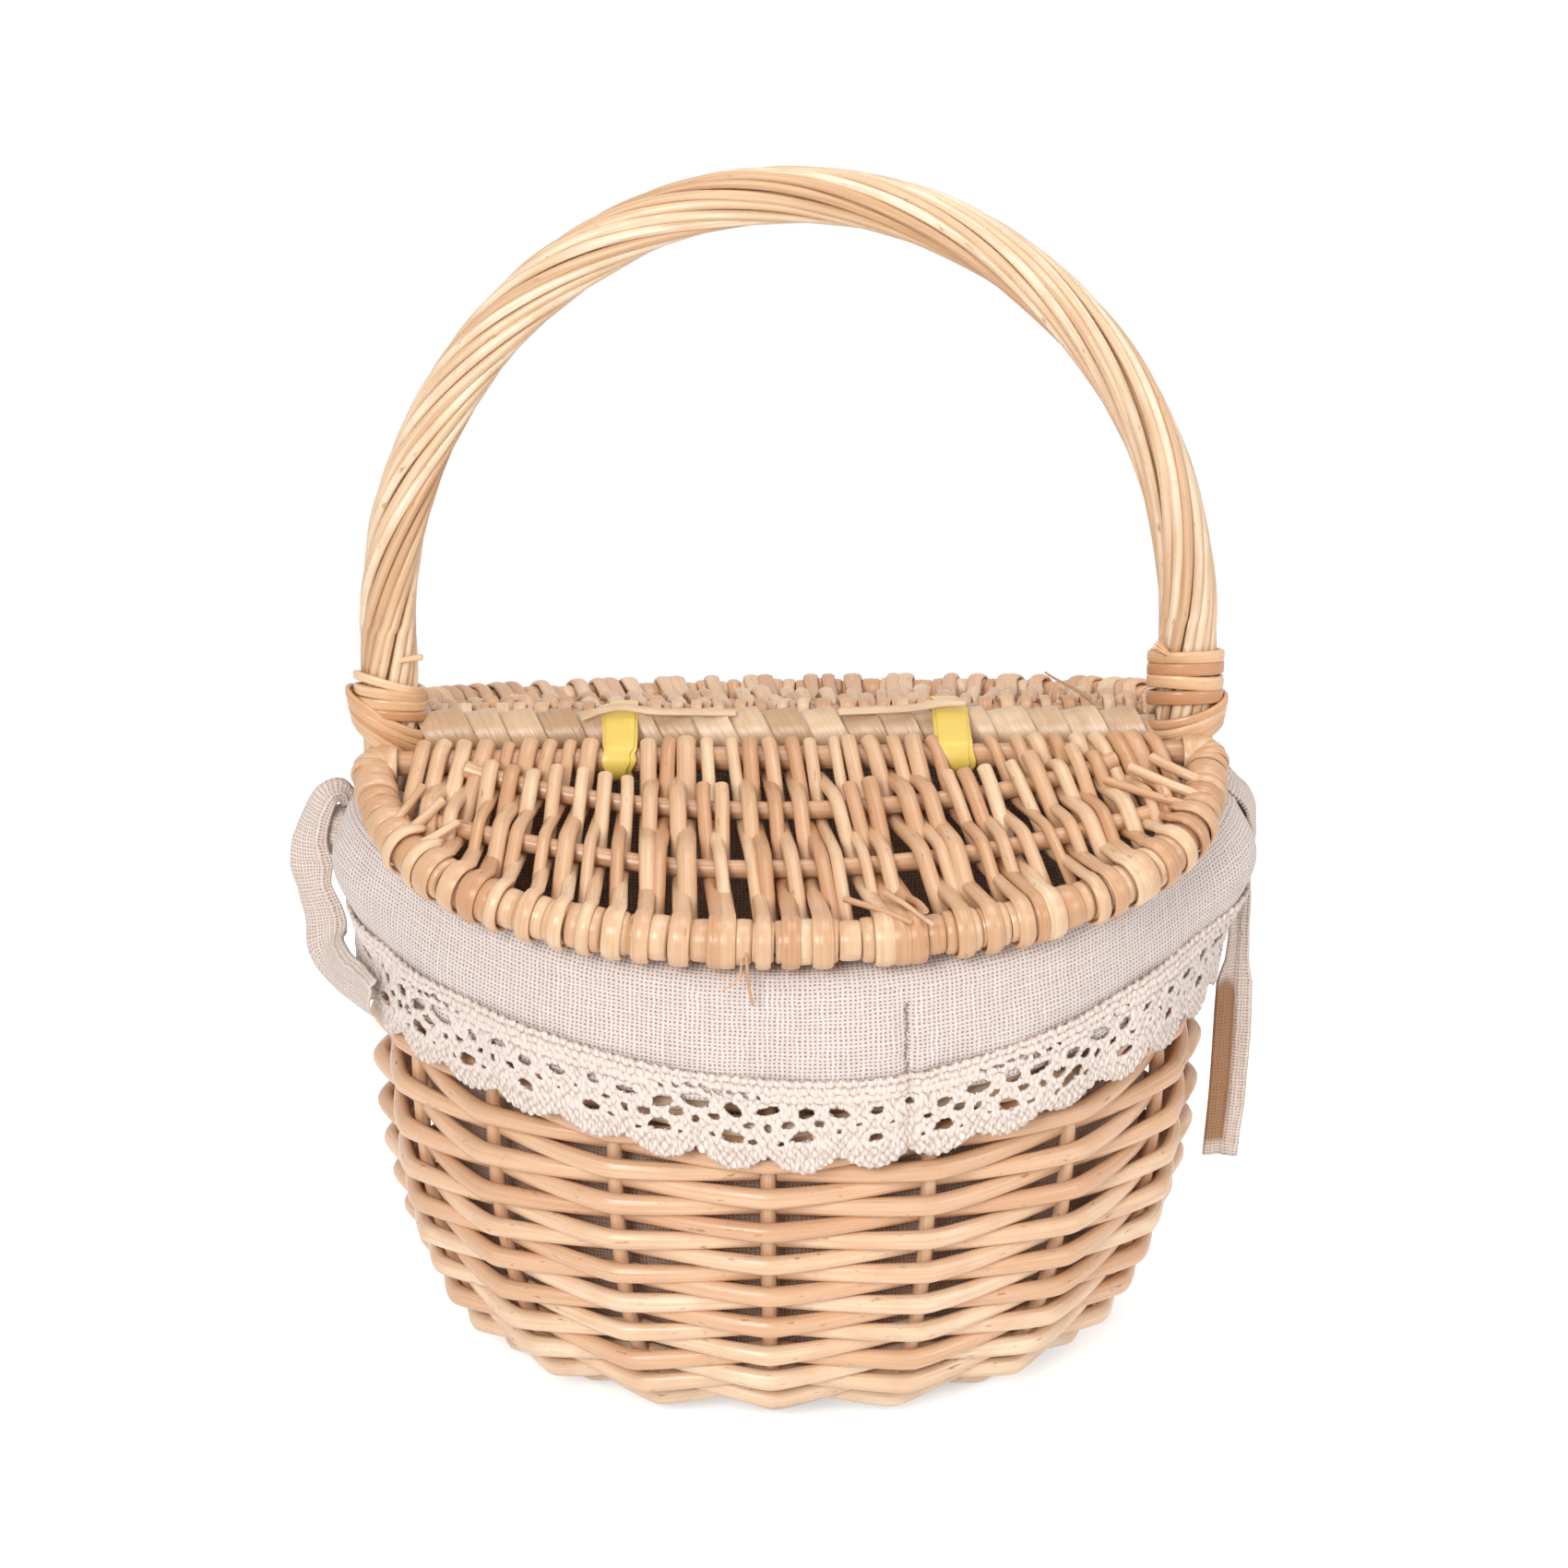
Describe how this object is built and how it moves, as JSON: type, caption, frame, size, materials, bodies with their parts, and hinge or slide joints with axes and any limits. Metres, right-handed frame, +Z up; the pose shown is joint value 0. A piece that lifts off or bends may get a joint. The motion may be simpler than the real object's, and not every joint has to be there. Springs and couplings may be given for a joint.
{
  "type": "picnic basket",
  "caption": "Small oval woven willow picnic basket with a twisted arch handle, hinged half lids tied to a cross bar, and a lace-edged cloth liner folded over the rim.",
  "frame": {"origin": "middle of the flat underside of the base, on the table", "axes": "+Z up, X along the cross bar between the handle's feet, -Y to the front lid"},
  "size_m": [0.2558, 0.185, 0.324],
  "materials": {
    "willow": "satin peeled willow",
    "willow_core": "satin peeled willow",
    "willow_lid": "satin peeled willow",
    "cane": "satin flat cane",
    "tie_plastic": "smooth pale yellow",
    "linen": "matt plain-weave linen",
    "lace": "matt cotton crochet"
  },
  "bodies": {
    "basket": {"base_hoop": "willow_core", "base_rib_1": "willow_core", "base_rib_2": "willow_core", "base_rib_3": "willow_core", "base_weave": "willow", "cross_bar": "willow_core", "cross_bar_cane": "cane", "handle_binding_left": "willow", "handle_binding_right": "willow", "handle_core": "willow_core", "handle_rod_1": "willow", "handle_rod_2": "willow", "handle_rod_3": "willow", "handle_rod_4": "willow", "handle_rod_5": "willow", "handle_rod_6": "willow", "handle_rod_7": "willow", "handle_rod_8": "willow", "hinge_tie_left": "tie_plastic", "hinge_tie_right": "tie_plastic", "lace_trim": "lace", "liner": "linen", "ribbon_knot_left": "linen", "ribbon_knot_right": "linen", "ribbon_loop_left": "linen", "ribbon_loop_right": "linen", "ribbon_tail_right": "linen", "rim_back": "willow_core", "rim_front": "willow_core", "stake_01": "willow_core", "stake_02": "willow_core", "stake_03": "willow_core", "stake_04": "willow_core", "stake_05": "willow_core", "stake_06": "willow_core", "stake_07": "willow_core", "stake_08": "willow_core", "stake_09": "willow_core", "stake_10": "willow_core", "stake_11": "willow_core", "stake_12": "willow_core", "stake_13": "willow_core", "stake_14": "willow_core", "stake_15": "willow_core", "stake_16": "willow_core", "stake_17": "willow_core", "wall_weave_1": "willow", "wall_weave_2": "willow", "wall_weave_3": "willow", "wall_weave_4": "willow"},
    "front_lid": {"front_lid_hinge_rod": "willow_lid", "front_lid_hoop": "willow_lid", "front_lid_rib_inner": "willow_lid", "front_lid_rib_outer": "willow_lid", "front_lid_weave": "willow_lid"},
    "back_lid": {"back_lid_hinge_rod": "willow_lid", "back_lid_hoop": "willow_lid", "back_lid_rib_inner": "willow_lid", "back_lid_rib_outer": "willow_lid", "back_lid_weave": "willow_lid"}
  },
  "joints": [
    {"name": "front_lid_hinge", "type": "hinge", "parent": "basket", "child": "front_lid", "pos_m": [0, -0.0145, 0.17], "axis": [-1, 0, 0], "range_deg": [0, 100]},
    {"name": "back_lid_hinge", "type": "hinge", "parent": "basket", "child": "back_lid", "pos_m": [0, 0.0145, 0.17], "axis": [1, 0, 0], "range_deg": [0, 100]}
  ]
}
